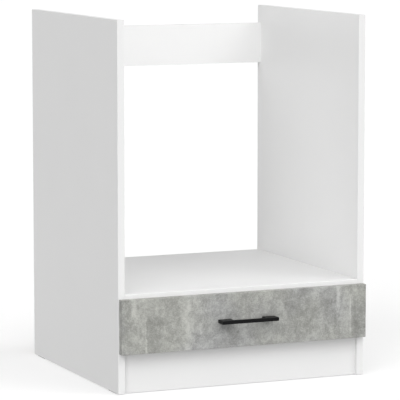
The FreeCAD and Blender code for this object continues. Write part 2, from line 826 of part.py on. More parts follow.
def check_document():
    """Stop on any failed object, empty or broken shape, or cut that removed nothing."""
    for thing in doc.Objects:
        if {"Invalid", "Error"} & set(thing.State):
            raise RuntimeError(f"{thing.Label} failed: {thing.State}")
        if thing.TypeId == "PartDesign::Pocket":
            if thing.Shape.Volume > thing.BaseFeature.Shape.Volume - CLOSE:
                raise RuntimeError(f"{thing.Label} of {thing.getParent().Label} cuts nothing")
    for node in nodes:
        if node.Shape.isNull() or not node.Shape.isValid():
            raise RuntimeError(f"{node.Label} has no valid shape")


sizes = fill_sheet("Sizes", {alias: str(number) for alias, number in SIZES.items()})
fill_sheet("Places", {alias: "=" + qualified(formula) for alias, formula in PLACES.items()})
doc.recompute()
joint_bolt = cam_bolt()
carcass()
carcass_fittings(joint_bolt)
runners()
drawer()
drawer_fittings(joint_bolt)
doc.recompute()
check_document()
os.makedirs("parts", exist_ok=True)
for node in nodes:
    node.Shape.exportStep(f"parts/{node.Label}.step")
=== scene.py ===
"""Looks of an oven base cabinet: finishes, handle, rollers and small fittings over its CAD frame.

Everything is in metres in the frame of the CAD model: +Z up, the front looks along -Y, and the
origin is on the floor under the middle of the cabinet.
"""

import math

import bmesh
import bpy
from bpy.props import FloatProperty, FloatVectorProperty, IntProperty, PointerProperty
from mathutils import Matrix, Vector


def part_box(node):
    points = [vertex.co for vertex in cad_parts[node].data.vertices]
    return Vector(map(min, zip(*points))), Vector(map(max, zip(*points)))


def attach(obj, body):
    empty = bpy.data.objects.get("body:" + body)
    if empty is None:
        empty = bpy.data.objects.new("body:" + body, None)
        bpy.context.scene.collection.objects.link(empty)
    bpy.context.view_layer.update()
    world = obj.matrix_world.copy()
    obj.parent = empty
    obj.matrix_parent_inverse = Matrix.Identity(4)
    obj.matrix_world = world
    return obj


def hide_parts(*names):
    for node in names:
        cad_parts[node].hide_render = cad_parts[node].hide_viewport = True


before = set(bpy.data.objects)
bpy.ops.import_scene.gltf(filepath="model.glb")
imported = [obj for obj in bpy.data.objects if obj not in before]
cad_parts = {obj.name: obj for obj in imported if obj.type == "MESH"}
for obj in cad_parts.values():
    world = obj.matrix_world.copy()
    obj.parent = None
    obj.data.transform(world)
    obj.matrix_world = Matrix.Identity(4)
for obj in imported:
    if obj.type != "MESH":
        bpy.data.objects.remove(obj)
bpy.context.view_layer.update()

bl_info = {
    "name": "Oven base cabinet",
    "version": (1, 0, 0),
    "blender": (4, 5, 0),
    "location": "3D View > Sidebar > Cabinet",
    "description": "Dresses the packed oven base cabinet with its finishes and small fittings",
    "category": "Object",
}

HANDS = {"left": -1, "right": 1}
BACK, UP, DOWN = (0, 1, 0), (0, 0, 1), (0, 0, -1)
NEAR = 1e-6  # corners that lie closer count as one
FACING = 0.9  # cosine of the angle within which a surface faces a way


# Values a user would change

def colour_value(name, description, default):
    return FloatVectorProperty(
        name=name, description=description, subtype="COLOR", size=3, min=0, max=1, default=default
    )


def length_value(name, description, default):
    return FloatProperty(
        name=name, description=description, unit="LENGTH", min=0, precision=5, default=default
    )


def share_value(name, description, default):
    return FloatProperty(
        name=name, description=description, subtype="FACTOR", min=0, max=1, default=default
    )


def strength_value(name, description, default, unit="NONE"):
    return FloatProperty(name=name, description=description, unit=unit, min=0, default=default)


def angle_value(name, description, default):
    return FloatProperty(name=name, description=description, subtype="ANGLE", default=default)


def place_value(name, description, default):
    return FloatVectorProperty(
        name=name, description=description, subtype="TRANSLATION", unit="LENGTH", size=3, default=default
    )


def cut_value(name, pattern, default):
    return place_value(name, f"Where the front is cut from the endless pattern of {pattern}", default)


def vein_values(name, description, default, unit="LENGTH"):
    """One value for each vein of the front."""
    return FloatVectorProperty(
        name=name, description=description, unit=unit, size=len(default), default=default
    )


def fastener_value(name, default):
    """The sizes of a round-headed fastener; a recess of 0 leaves its head plain."""
    return FloatVectorProperty(
        name=name, description="Head diameter, head height, shank diameter, shank length, recess length",
        unit="LENGTH", size=5, min=0, precision=5, default=default,
    )


class BoardLook(bpy.types.PropertyGroup):
    """White laminate, its edging and the raw chipboard of hidden edges."""

    white: colour_value("White", "Colour of the laminate", (0.78, 0.78, 0.778))
    edging: colour_value("Edging", "Colour of the white edging", (0.78, 0.78, 0.778))
    chip: colour_value("Chipboard", "Colour of the raw chipboard", (0.52, 0.37, 0.22))
    pale_chip: colour_value("Pale chips", "Colour of the palest chips", (0.72, 0.58, 0.4))
    fibre: colour_value("Hardboard", "Colour of the raw side of the drawer bottom", (0.27, 0.16, 0.085))
    pearl: length_value("Pearl", "Size of the pearls in the laminate's surface", 0.0011)
    large_chip: length_value("Large chips", "Size of the large chips", 0.0026)
    small_chip: length_value("Small chips", "Size of the small chips", 0.0011)
    roughness: share_value("Roughness", "Roughness of the laminate", 0.42)


class FrontLook(bpy.types.PropertyGroup):
    """The concrete look of the drawer front."""

    dark: colour_value("Dark", "Colour of the dark clouds", (0.191, 0.192, 0.186))
    middle: colour_value("Middle", "Colour of most of the front", (0.312, 0.315, 0.309))
    light: colour_value("Light", "Colour of the light veins", (0.474, 0.477, 0.469))
    cloud: length_value("Clouds", "Size of the clouds", 0.09)
    mottle: length_value("Mottling", "Size of the mottling", 0.02)
    streak: length_value("Streaks", "Width of the upright streaks", 0.024)
    speckle: length_value("Speckle", "Size of the fine speckle", 0.0026)
    rim: length_value("Rims", "Size of the loops of the light rims", 0.04)
    hair: length_value("Hairs", "Size of the loops of the thin light hairs", 0.017)
    pore: length_value("Pores", "Size of the dark pores", 0.004)
    cloud_cut: cut_value("Cloud cut", "clouds", (0.462, 2, 1.489))
    mottle_cut: cut_value("Mottle cut", "mottling", (-0.646, 2, 3.48))
    streak_cut: cut_value("Streak cut", "streaks", (-1.286, 1, 0.036))
    tone: strength_value("Tone", "Tone of the front before its marks, from dark to light", 0.47)
    cloud_weight: strength_value("Cloud weight", "How strongly the clouds show", 0.8)
    mottle_weight: strength_value("Mottle weight", "How strongly the mottling shows", 1.2)
    streak_weight: strength_value("Streak weight", "How strongly the streaks show", 0.6)
    speckle_weight: strength_value("Speckle weight", "How strongly the speckle shows", 0.75)
    rim_weight: strength_value("Rim weight", "How strongly the rims show", 0.16)
    hair_weight: strength_value("Hair weight", "How strongly the hairs show", 0.3)
    pore_weight: strength_value("Pore weight", "How strongly the pores show", 0.14)
    veins: vein_values(
        "Veins", "Where the veins stand, from the middle of the front",
        (-0.269, -0.241, -0.149, -0.139, 0.228, 0.259, -0.284, 0.221),
    )
    vein_widths: vein_values(
        "Vein widths", "Width of each vein",
        (0.012, 0.004, 0.013, 0.009, 0.009, 0.004, 0.016, 0.008),
    )
    vein_feet: vein_values(
        "Vein feet", "Height above the floor where each vein begins",
        (0.17, 0.08, 0.08, 0.08, 0.16, 0.1, 0.15, 0.11),
    )
    vein_tops: vein_values(
        "Vein tops", "Height above the floor where each vein ends",
        (0.23, 0.168, 0.23, 0.23, 0.23, 0.182, 0.21, 0.2),
    )
    vein_tones: vein_values(
        "Vein tones", "How much lighter, or darker below 0, each vein is",
        (0.3, 0.36, 0.25, 0.2, 0.3, 0.36, -0.1, -0.16), "NONE",
    )
    vein_fade: length_value("Vein fade", "Half the length over which a vein's end fades", 0.012)
    narrow: length_value("Narrow vein", "Width under which a vein has a dark side", 0.005)
    dark_side: length_value("Dark side", "How far the dark side of a narrow vein reaches", 0.05)
    dark_step: share_value("Dark step", "How much darker the dark side of a narrow vein begins", 0.12)
    roughness: share_value("Roughness", "Roughness of the front", 0.62)


class HandleLook(bpy.types.PropertyGroup):
    """The black bar handle."""

    colour: colour_value("Colour", "Colour of the coat", (0.0045, 0.0045, 0.0048))
    bar: length_value("Bar depth", "Depth of the bar, front to back", 0.008)
    foot: length_value("Foot length", "Length of a foot along the bar", 0.03)
    rounding: length_value("Rounding", "Radius of the edges", 0.0008)
    roughness: share_value("Roughness", "Roughness of the coat", 0.42)
    gloss: share_value("Gloss", "How strongly the coat mirrors", 0.11)


class RunnerLook(bpy.types.PropertyGroup):
    """Roller runners: coated profiles and rollers."""

    coat: colour_value("Coat", "Colour of the profiles' powder coat", (0.8, 0.8, 0.79))
    nylon: colour_value("Nylon", "Colour of the rollers", (0.74, 0.74, 0.715))
    sheet: length_value("Sheet", "Thickness of the profiles", 0.0012)
    bore: length_value("Bore", "Diameter of a roller's bore", 0.00512)
    tread: length_value("Tread", "Thickness of a roller's tread", 0.0019)
    hub: length_value("Hub", "Thickness of a roller's hub", 0.0016)
    recess: length_value("Recess", "How deep the web lies in a roller's side", 0.0008)
    rounding: length_value("Rounding", "Radius of a roller's edges", 0.0004)


class FittingLook(bpy.types.PropertyGroup):
    """Screws, pins, nails, cam locks and glides."""

    steel: colour_value("Steel", "Colour of the zinc plated steel", (0.66, 0.66, 0.65))
    zinc: colour_value("Zinc", "Colour of the cast cam locks", (0.5, 0.5, 0.5))
    glide: colour_value("Glides", "Colour of the glide strips", (0.16, 0.16, 0.16))
    cabinet_screw: fastener_value("Cabinet runner screws", (0.007, 0.0018, 0.0035, 0.012, 0.0042))
    drawer_screw: fastener_value("Drawer runner screws", (0.007, 0.0018, 0.0035, 0.0095, 0.0042))
    back_screw: fastener_value("Drawer back screws", (0.0075, 0.0007, 0.004, 0.032, 0.0044))
    handle_screw: fastener_value("Handle screws", (0.0085, 0.0023, 0.004, 0.022, 0.0046))
    nail: fastener_value("Drawer bottom nails", (0.0045, 0.0006, 0.0016, 0.02, 0))
    pin_head: length_value("Pin head", "Thickness of a roller pin's head", 0.0009)
    pin_shank: length_value("Pin shank", "Diameter of a roller pin", 0.005)
    cam_chamfer: length_value("Cam chamfer", "Chamfer of a cam lock's rim", 0.0005)
    cam_length: length_value("Cam recess length", "Length of a cam lock's cross recess", 0.0085)
    cam_width: length_value("Cam recess width", "Width of a cam lock's cross recess", 0.0021)
    cam_depth: length_value("Cam recess depth", "Depth of a cam lock's cross recess", 0.003)
    sides: IntProperty(name="Sides", description="Sides of a round fitting", min=12, max=96, default=32)
    seed: IntProperty(name="Seed", description="Seed for how far each screw is turned", default=7)


class StageLook(bpy.types.PropertyGroup):
    """Floor, soft light and camera."""

    camera: place_value("Camera", "Where the camera stands", (-2.330414, -5.383604, 1.102517))
    yaw: angle_value("Yaw", "Turn of the camera from +Y towards +X", 0.409)
    tilt: angle_value("Tilt", "How far the camera looks down", 0.121)
    lens: FloatProperty(
        name="Lens", description="Focal length on a 36 mm sensor", unit="CAMERA", default=230.289
    )
    floor: colour_value("Floor", "Colour of the floor", (0.56, 0.56, 0.56))
    glow: strength_value("Glow", "Light that the floor itself gives off", 0.431)
    reach: length_value("Reach", "Half the width of the floor", 60)
    top: strength_value("Top", "Soft light from above", 0.265)
    left_key: strength_value("Left key", "Main light from high up at the front left", 3.241)
    right_key: strength_value("Right key", "Main light from high up at the front right", 4.006)
    front: strength_value("Front", "Soft light from the front left", 0.979)
    low: strength_value("Low", "Soft light from low down at the front", 0.48)
    back: strength_value("Back", "Soft light from behind", 0.5)
    around: strength_value("Around", "Even light from all round", 0.211)
    backdrop: strength_value("Backdrop", "Light of the backdrop along the horizon", 0.8)
    over: strength_value("Over", "Soft lamp over the niche", 0.556, "POWER")


LOOKS = {
    "cabinet_boards": BoardLook,
    "cabinet_front": FrontLook,
    "cabinet_handle": HandleLook,
    "cabinet_runners": RunnerLook,
    "cabinet_fittings": FittingLook,
    "cabinet_stage": StageLook,
}


# Node trees

def pick(sockets, key):
    """A socket by its place, or the one in use that has the name."""
    if isinstance(key, int):
        return sockets[key]
    return next(socket for socket in sockets if socket.name == key and socket.enabled)


class Wire:
    """The output of a node; Python's operators on it add Math nodes."""

    def __init__(self, graph, socket):
        self.graph = graph
        self.socket = socket

    def out(self, key):
        """Another output of the same node."""
        return Wire(self.graph, pick(self.socket.node.outputs, key))

    def math(self, operation, *values):
        return self.graph.node("ShaderNodeMath", {"operation": operation}, dict(enumerate(values)))

    def __add__(self, other):
        return self.math("ADD", self, other)

    def __sub__(self, other):
        return self.math("SUBTRACT", self, other)

    def __rsub__(self, other):
        return self.math("SUBTRACT", other, self)

    def __mul__(self, other):
        return self.math("MULTIPLY", self, other)

    def __pow__(self, other):
        return self.math("POWER", self, other)

    def __gt__(self, other):
        return self.math("GREATER_THAN", self, other)

    def __abs__(self):
        return self.math("ABSOLUTE", self)

    __radd__ = __add__
    __rmul__ = __mul__

    def most(self, other):
        return self.math("MAXIMUM", self, other)

    def sine(self):
        return self.math("SINE", self)

    def smooth(self, low, high):
        """0 below low, 1 above high, and a soft step between."""
        return self.graph.node(
            "ShaderNodeMapRange", {"interpolation_type": "SMOOTHSTEP"},
            {"Value": self, "From Min": low, "From Max": high}, "Result",
        )


class Graph:
    """A node tree in the making."""

    def __init__(self, tree):
        self.tree = tree

    def node(self, kind, settings=None, inputs=None, output=0):
        """Add a node by its type, its settings, and the values or links of its sockets."""
        node = self.tree.nodes.new(kind)
        for key, setting in (settings or {}).items():
            if key == "stops":
                for spot, (place, colour) in enumerate(setting):
                    elements = node.color_ramp.elements
                    element = elements[spot] if spot < 2 else elements.new(place)
                    element.position, element.color = place, (*colour, 1)
            else:
                setattr(node, key, setting)
        self.feed(node, inputs or {})
        return Wire(self, pick(node.outputs, output)) if node.outputs else None

    def along(self, vector, way):
        """How far a vector goes along a way."""
        return self.node("ShaderNodeVectorMath", {"operation": "DOT_PRODUCT"}, {0: vector, 1: way}, "Value")

    def feed(self, node, inputs):
        """Set or link a node's sockets."""
        for key, values in inputs.items():
            socket = pick(node.inputs, key)
            for value in values if isinstance(values, list) else [values]:
                if isinstance(value, Wire):
                    self.tree.links.new(value.socket, socket)
                elif socket.type == "RGBA":
                    socket.default_value = (*value, 1)
                else:
                    socket.default_value = value


class Finish(Graph):
    """A material in the making, painted on Object coordinates."""

    def __init__(self, name):
        self.material = bpy.data.materials.new(name)
        self.material.use_nodes = True
        super().__init__(self.material.node_tree)
        self.shader = self.tree.nodes["Principled BSDF"]
        self.place = self.node("ShaderNodeTexCoord", output="Object")

    def stretched(self, scale, location=(0, 0, 0)):
        """Object coordinates, stretched and moved."""
        return self.node(
            "ShaderNodeMapping", None, {"Vector": self.place, "Scale": scale, "Location": location}
        )

    def noise(self, size, detail=2.0, roughness=0.5, distortion=0.0, vector=None):
        """Noise around 0 whose features have about the given size."""
        return self.node("ShaderNodeTexNoise", None, {
            "Vector": vector or self.place, "Scale": 1 / size, "Detail": detail,
            "Roughness": roughness, "Distortion": distortion,
        }) - 0.5

    def cells(self, size, vector, output):
        """The random Color of cells of about the given size, or the Distance from their middles."""
        return self.node("ShaderNodeTexVoronoi", None, {"Vector": vector, "Scale": 1 / size}, output)

    def mix(self, share, low, high, blend="MIX"):
        """A colour between two."""
        settings = {"data_type": "RGBA", "blend_type": blend}
        return self.node("ShaderNodeMix", settings, {"Factor": share, "A": low, "B": high}, "Result")

    def varied(self, noise, spread, low, high):
        """A colour that a noise around 0 takes from low to high."""
        return self.mix((noise + 0.5).smooth(0.5 - spread, 0.5 + spread), low, high)

    def ramp(self, value, stops):
        return self.node("ShaderNodeValToRGB", {"stops": stops}, {"Fac": value}, "Color")

    def facing(self, *ways):
        """1 where the surface faces one of the directions."""
        normal = self.place.out("Normal")
        masks = [self.along(normal, way) > FACING for way in ways]
        mask = masks[0]
        for other in masks[1:]:
            mask = mask.most(other)
        return mask

    def surface(self, height=None, lift=0.0, strength=1.0, **inputs):
        """Feed the shader; height, times lift, makes the bump."""
        if height is not None:
            inputs["Normal"] = self.node("ShaderNodeBump", None, {
                "Height": height, "Distance": lift, "Strength": strength,
            })
        self.feed(self.shader, {key.replace("_", " "): value for key, value in inputs.items()})
        return self.material


# Finishes

CHIP_RAGS = 700  # bites in the rims of the chips, per metre
RAG_REACH = 0.0016  # how far the rims of the chips wander
SCREEN_WAVES = 3140  # radians per metre of the mark that the press screen leaves


def shaded(colour, share):
    return tuple(channel * share for channel in colour)


def chipboard(finish, look):
    """Colour and height of raw chipboard: pressed chips of two sizes with ragged rims, and dust."""
    ragged = finish.node(
        "ShaderNodeTexNoise", None, {"Vector": finish.place, "Scale": CHIP_RAGS, "Detail": 2}, "Color"
    )
    place = finish.node("ShaderNodeVectorMath", {"operation": "MULTIPLY_ADD"}, {
        0: ragged, 1: (RAG_REACH, RAG_REACH, RAG_REACH), 2: finish.stretched((1, 1, 0.6)),
    }, "Vector")
    dust = finish.noise(look.small_chip, detail=3)
    large, small = (
        finish.node("ShaderNodeSeparateColor", None, {"Color": finish.cells(size, place, "Color")}, "Red")
        for size in (look.large_chip, look.small_chip)
    )
    tone = large * 0.55 + small * 0.45
    colour = finish.ramp(tone + dust * 0.4, [
        (0.1, shaded(look.chip, 0.6)), (0.42, look.chip),
        (0.7, shaded(look.chip, 1.22)), (0.95, look.pale_chip),
    ])
    return colour, tone + dust


def laminate(name, look, raw=()):
    """White laminate with a fine pearl, and raw chipboard on the edges that face the raw ways."""
    finish = Finish(name)
    pearl = finish.noise(look.pearl, detail=1.5)
    cloud = finish.noise(0.22, detail=2)
    colour = finish.varied(cloud, 0.25, shaded(look.white, 0.985), look.white)
    roughness = look.roughness + pearl * 0.12 + cloud * 0.05
    height = pearl
    if raw:
        core = finish.facing(*raw)
        chips, grit = chipboard(finish, look)
        colour = finish.mix(core, colour, chips)
        roughness = roughness + core * 0.45
        height = pearl * (1 - core) + grit * core * 3
    return finish.surface(height, lift=0.00006, strength=0.35, Base_Color=colour, Roughness=roughness)


def edging(name, look):
    """Smooth edging tape, a little glossier than the laminate."""
    finish = Finish(name)
    drag = finish.noise(0.0016, detail=2, vector=finish.stretched((1, 1, 0.12)))
    return finish.surface(
        drag, lift=0.00004, strength=0.3,
        Base_Color=finish.varied(drag, 0.3, shaded(look.edging, 0.985), look.edging),
        Roughness=look.roughness - 0.08 + drag * 0.1,
    )


def upright_veins(finish, look, x, z, breaks):
    """The sum of the veins, broken here and there; a narrow vein has a dark side."""
    wander = finish.noise(0.045, detail=3, vector=finish.stretched((0.35, 1, 1)))
    unbroken = (breaks + 0.5).smooth(0.25, 0.58)
    veins = 0.0
    for place, width, foot, top, gain in zip(
        look.veins, look.vein_widths, look.vein_feet, look.vein_tops, look.vein_tones
    ):
        off = x - place + wander * (1.6 * width)
        above_foot = z.smooth(foot - look.vein_fade, foot + look.vein_fade)
        below_top = 1 - z.smooth(top - look.vein_fade, top + look.vein_fade)
        vein = (1 - abs(off).smooth(0.1 * width, 0.8 * width)) * unbroken * gain
        if width < look.narrow:
            vein = vein - (off > 0.0) * (1 - off.smooth(0.0, look.dark_side)) * look.dark_step
        veins = vein * (above_foot * below_top) + veins
    return veins


def concrete(name, look):
    """A concrete look: clouds, mottling, streaks, speckle, light rims and hairs, pores and veins."""
    finish = Finish(name)
    x = finish.node("ShaderNodeSeparateXYZ", None, {"Vector": finish.place}, "X")
    even = (1, 1, 1)
    clouds = finish.noise(
        look.cloud, detail=4, roughness=0.6, distortion=0.35, vector=finish.stretched(even, look.cloud_cut)
    )
    mottle = finish.noise(
        look.mottle, detail=5, roughness=0.66, distortion=0.6, vector=finish.stretched(even, look.mottle_cut)
    )
    streaks = finish.noise(
        look.streak, detail=3, roughness=0.55, vector=finish.stretched((1, 1, 0.25), look.streak_cut)
    )
    speckle = finish.noise(look.speckle, detail=2)
    breaks = finish.noise(0.03, detail=3, vector=finish.stretched((1.6, 1, 1), (0.4, 0, 0)))
    rims = 1 - abs(finish.noise(look.rim, detail=2, distortion=1.2)).smooth(0.005, 0.04)
    loops = finish.noise(look.hair, detail=3, roughness=0.6, distortion=0.9)
    hairs = 1 - abs(loops).smooth(0.003, 0.03)
    pores = (finish.noise(look.pore, detail=1) + 0.5).smooth(0.66, 0.76)
    tone = (
        look.tone + clouds * look.cloud_weight + mottle * look.mottle_weight
        + streaks * look.streak_weight + speckle * look.speckle_weight
        + upright_veins(finish, look, x, x.out("Z"), breaks)
        + rims * (breaks + 0.5) * look.rim_weight + hairs * (mottle + 0.5) * look.hair_weight
        - pores * look.pore_weight
    )
    grey = finish.ramp(tone, [(0.05, look.dark), (0.5, look.middle), (0.98, look.light)])
    warmth = (finish.noise(0.16, detail=2) + 0.5).smooth(0.35, 0.65)
    return finish.surface(
        mottle * 0.4 + speckle - pores, lift=0.0001, strength=0.4,
        Base_Color=finish.mix(warmth, grey, (1, 1, 0.945), "MULTIPLY"),
        Roughness=look.roughness + mottle * 0.15 + pores * 0.1,
    )


def hardboard(name, look):
    """Thin fibreboard: white lacquer above, brown fibres with the mark of the press screen below."""
    finish = Finish(name)
    pearl = finish.noise(0.002, detail=2)
    fibres = finish.noise(0.004, detail=5, roughness=0.7, vector=finish.stretched((1, 0.5, 1)))
    x = finish.node("ShaderNodeSeparateXYZ", None, {"Vector": finish.place}, "X")
    weave = (x * SCREEN_WAVES).sine() * (x.out("Y") * SCREEN_WAVES).sine()
    above = finish.facing(UP)
    lacquer = finish.varied(pearl, 0.3, shaded(look.white, 0.95), shaded(look.white, 0.97))
    brown = finish.ramp(fibres + 0.5, [(0.25, shaded(look.fibre, 0.7)), (0.75, shaded(look.fibre, 1.45))])
    return finish.surface(
        pearl * 0.3 * above + (weave * 0.6 + fibres * 2) * (1 - above), lift=0.0001, strength=0.4,
        Base_Color=finish.mix(above, brown, lacquer), Roughness=0.8 - above * 0.32 + fibres * 0.1,
    )


def coated(name, colour, roughness, peel=0.0016, lift=0.00005, gloss=0.5):
    """A powder coat with a fine orange peel."""
    finish = Finish(name)
    skin = finish.noise(peel, detail=2)
    film = finish.noise(0.05, detail=3)
    return finish.surface(
        skin, lift=lift, strength=0.5,
        Base_Color=finish.varied(film, 0.25, shaded(colour, 0.94), shaded(colour, 1.04)),
        Roughness=roughness + skin * 0.12 + film * 0.08, Specular_IOR_Level=gloss,
    )


def moulded(name, colour, roughness):
    """Moulded plastic with a fine spark-eroded grain."""
    finish = Finish(name)
    grain = finish.noise(0.0005, detail=2)
    flow = finish.noise(0.012, detail=3, distortion=0.6)
    return finish.surface(
        grain, lift=0.00003, strength=0.5,
        Base_Color=finish.varied(flow, 0.25, shaded(colour, 0.93), colour),
        Roughness=roughness + flow * 0.12 + grain * 0.08,
    )


def plated(name, colour, roughness, grit):
    """Plated or cast metal with cloudy gloss."""
    finish = Finish(name)
    cloud = finish.noise(0.004, detail=4, roughness=0.65)
    skin = finish.noise(grit, detail=2)
    return finish.surface(
        skin, lift=0.00003, strength=0.5,
        Base_Color=finish.varied(cloud, 0.3, shaded(colour, 0.82), colour),
        Roughness=roughness + cloud * 0.25 + skin * 0.1, Metallic=1.0,
    )


def beech(name):
    """Raw beech of the dowels: long grain with short dark flecks."""
    finish = Finish(name)
    grain = finish.noise(0.0012, detail=3, vector=finish.stretched((0.08, 1, 1)))
    flecks = 1 - finish.cells(0.0016, finish.stretched((0.2, 1, 1)), "Distance").smooth(0.05, 0.2)
    wood = finish.ramp(grain + 0.5, [(0.2, (0.42, 0.27, 0.15)), (0.8, (0.66, 0.48, 0.31))])
    return finish.surface(
        grain, lift=0.00008, strength=0.6,
        Base_Color=finish.mix(flecks, wood, (0.3, 0.17, 0.09)), Roughness=0.7 + grain * 0.15,
    )


# Pieces

SHARP_ANGLE = 32  # degrees; edges that turn more stay sharp
HOLE_PITCH = 0.032  # of the rows of holes for fittings


def middle(node):
    """The middle of a CAD node."""
    low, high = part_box(node)
    return (low + high) / 2


def outer_side(node):
    """How far a CAD node reaches to the side."""
    low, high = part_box(node)
    return max(abs(low.x), abs(high.x))


def hole_row(node, first, steps):
    """Places along Y in the row of holes that starts behind a CAD node's front end."""
    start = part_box(node)[0].y + first
    return [start + step * HOLE_PITCH for step in steps]


def solids(node):
    """The lowest and highest corners of each solid in a CAD node."""
    bm = bmesh.new()
    bm.from_mesh(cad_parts[node].data)
    bmesh.ops.remove_doubles(bm, verts=bm.verts, dist=NEAR)
    boxes, seen = [], set()
    for start in bm.verts:
        if start in seen:
            continue
        corners, front = [], [start]
        while front:
            vert = front.pop()
            if vert not in seen:
                seen.add(vert)
                corners.append(vert.co)
                front += [edge.other_vert(vert) for edge in vert.link_edges]
        boxes.append(tuple(Vector([end(axis) for axis in zip(*corners)]) for end in (min, max)))
    bm.free()
    return boxes


def head_spot(box, aim, sink=0.0):
    """A place on the end of a box that the aim points to, or sunk below that end, and the aim."""
    low, high = box
    way = Vector(aim)
    reach = abs(way.dot(high - low)) / 2 - sink
    return (low + high) / 2 + way * reach, aim


def dress(material, *nodes):
    """Give CAD nodes a material."""
    for node in nodes:
        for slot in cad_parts[node].material_slots:
            slot.material = material


def new_object(name, data):
    made = bpy.data.objects.new(name, data)
    bpy.context.scene.collection.objects.link(made)
    return made


def settle(piece):
    """Turn what the modifiers make of a piece into its plain mesh."""
    made = bpy.data.meshes.new_from_object(piece.evaluated_get(bpy.context.evaluated_depsgraph_get()))
    if not made.polygons:
        raise RuntimeError(f"{piece.name} came out empty")
    piece.modifiers.clear()
    drawn, piece.data = piece.data, made
    bpy.data.meshes.remove(drawn)
    made.name = piece.name
    return piece


def smooth_over(mesh):
    """Merge doubles, point the faces outwards, and shade all but the sharp edges smooth."""
    bm = bmesh.new()
    bm.from_mesh(mesh)
    bmesh.ops.remove_doubles(bm, verts=bm.verts, dist=NEAR)
    bmesh.ops.recalc_face_normals(bm, faces=bm.faces)
    bm.to_mesh(mesh)
    bm.free()
    mesh.shade_smooth()
    mesh.set_sharp_from_angle(angle=math.radians(SHARP_ANGLE))


def hand_over(piece, body, slot, *nodes):
    """Let a finished piece move with its body and stand for the nodes it replaces."""
    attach(piece, body)
    if nodes:
        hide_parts(*nodes)


class FittingTree(Graph):
    """A geometry tree that sets one fitting on each point of a mesh."""

    def __init__(self, name, sizes):
        super().__init__(bpy.data.node_groups.new(name, "GeometryNodeTree"))
        face = self.tree.interface
        face.new_socket("Geometry", in_out="INPUT", socket_type="NodeSocketGeometry")
        face.new_socket("Geometry", in_out="OUTPUT", socket_type="NodeSocketGeometry")
        self.keys = {}
        for size in sizes:
            whole = size in ("Sides", "Seed")
            kind = "NodeSocketInt" if whole else "NodeSocketFloat"
            socket = face.new_socket(size, in_out="INPUT", socket_type=kind)
            if not whole:
                socket.subtype = "DISTANCE"
            self.keys[size] = socket.identifier
        self.keys["Material"] = face.new_socket(
            "Material", in_out="INPUT", socket_type="NodeSocketMaterial"
        ).identifier
        self.given = self.node("NodeGroupInput", output="Geometry")

    def size(self, name):
        return self.given.out(name)

    def vector(self, x=0.0, y=0.0, z=0.0):
        return self.node("ShaderNodeCombineXYZ", None, {"X": x, "Y": y, "Z": z})

    def moved(self, geometry, way):
        return self.node("GeometryNodeTransform", None, {"Geometry": geometry, "Translation": way})

    def corners(self):
        """The X of the geometry's corners, from whose node Y and Z come too."""
        place = self.node("GeometryNodeInputPosition")
        return self.node("ShaderNodeSeparateXYZ", None, {"Vector": place}, "X")

    def fused(self, *parts):
        """One solid of several that overlap."""
        return self.node(
            "GeometryNodeMeshBoolean", {"operation": "UNION", "solver": "EXACT"}, {1: list(parts)}, "Mesh"
        )

    def block(self, x, y, z, place):
        """A plain block, as a cutter."""
        cube = self.node("GeometryNodeMeshCube", None, {"Size": self.vector(x, y, z)}, "Mesh")
        return self.moved(cube, place)

    def cross(self, place):
        """Two crossed blocks round a place, as cutters of a cross recess."""
        long, wide, deep = (self.size(f"Recess {way}") for way in ("length", "width", "depth"))
        return self.block(long, wide, deep * 2, place), self.block(wide, long, deep * 2, place)

    def cut(self, geometry, *cutters):
        return self.node(
            "GeometryNodeMeshBoolean", {"operation": "DIFFERENCE", "solver": "EXACT"},
            {"Mesh 1": geometry, "Mesh 2": list(cutters)}, "Mesh",
        )

    def drum(self, radius, depth, top):
        """A round bar along Z whose upper end is at the top."""
        bar = self.node("GeometryNodeMeshCylinder", {"fill_type": "NGON"}, {
            "Vertices": self.size("Sides"), "Radius": radius, "Depth": depth,
        }, "Mesh")
        return self.moved(bar, self.vector(z=top - depth * 0.5))

    def close(self, fitting, turned=False):
        """Set the fitting on the points, along their aim, as real faces with the material."""
        aim = self.node(
            "GeometryNodeInputNamedAttribute", {"data_type": "FLOAT_VECTOR"}, {"Name": "aim"}, "Attribute"
        )
        rotation = self.node("FunctionNodeAlignRotationToVector", {"axis": "Z"}, {"Vector": aim})
        if turned:
            angle = self.node("FunctionNodeRandomValue", {"data_type": "FLOAT"}, {
                "Max": math.tau, "Seed": self.size("Seed"),
            }, "Value")
            twist = self.node("FunctionNodeAxisAngleToRotation", None, {"Axis": UP, "Angle": angle})
            rotation = self.node("FunctionNodeRotateRotation", {"rotation_space": "LOCAL"}, {
                "Rotation": rotation, "Rotate By": twist,
            })
        placed = self.node("GeometryNodeInstanceOnPoints", None, {
            "Points": self.given, "Instance": fitting, "Rotation": rotation,
        })
        real = self.node("GeometryNodeRealizeInstances", None, {"Geometry": placed})
        finished = self.node("GeometryNodeSetMaterial", None, {
            "Geometry": real, "Material": self.size("Material"),
        })
        self.node("NodeGroupOutput", None, {"Geometry": finished})
        return self

    def grow(self, name, spots, material, **sizes):
        """A plain mesh of fittings on spots, each a place and the way its head faces."""
        mesh = bpy.data.meshes.new(name)
        mesh.from_pydata([place for place, _ in spots], [], [])
        aims = mesh.attributes.new("aim", "FLOAT_VECTOR", "POINT")
        aims.data.foreach_set("vector", [part for _, aim in spots for part in aim])
        piece = new_object(name, mesh)
        modifier = piece.modifiers.new(self.tree.name, "NODES")
        modifier.node_group = self.tree
        for size, value in sizes.items():
            modifier[self.keys[size.replace("_", " ").capitalize()]] = value
        modifier[self.keys["Material"]] = material
        settle(piece)
        smooth_over(piece.data)
        return piece


